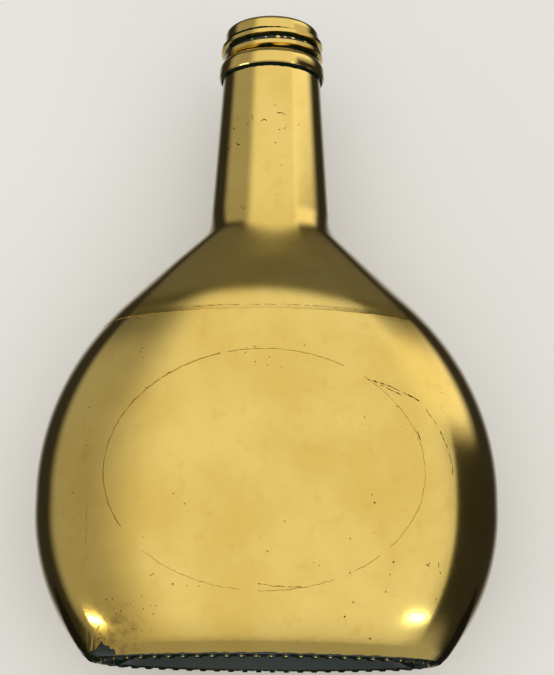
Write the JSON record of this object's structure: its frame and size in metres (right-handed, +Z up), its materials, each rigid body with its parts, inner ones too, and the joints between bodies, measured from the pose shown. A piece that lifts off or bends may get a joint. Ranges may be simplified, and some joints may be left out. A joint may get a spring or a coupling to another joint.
{
  "type": "bocksbeutel bottle",
  "caption": "Flattened round glass wine bottle with a screw finish, empty and uncapped, gilded outside with metal leaf over an oval paper label.",
  "frame": {"origin": "centre of the bottle's outline on the surface that it stands on", "axes": "+Z up the neck, -Y out of the labelled front, +X to the right of someone who looks at the front"},
  "size_m": [0.116, 0.058, 0.169],
  "materials": {
    "green_glass": "moulded dark green glass",
    "label_paper": "uncoated paper",
    "gold_leaf": "burnished metal leaf, satin"
  },
  "bodies": {
    "root": {"glass_bottle": "green_glass", "front_label": "label_paper", "leaf_front": "gold_leaf", "leaf_back": "gold_leaf", "leaf_neck": "gold_leaf", "leaf_bead": "gold_leaf", "leaf_lip": "gold_leaf"}
  },
  "joints": []
}
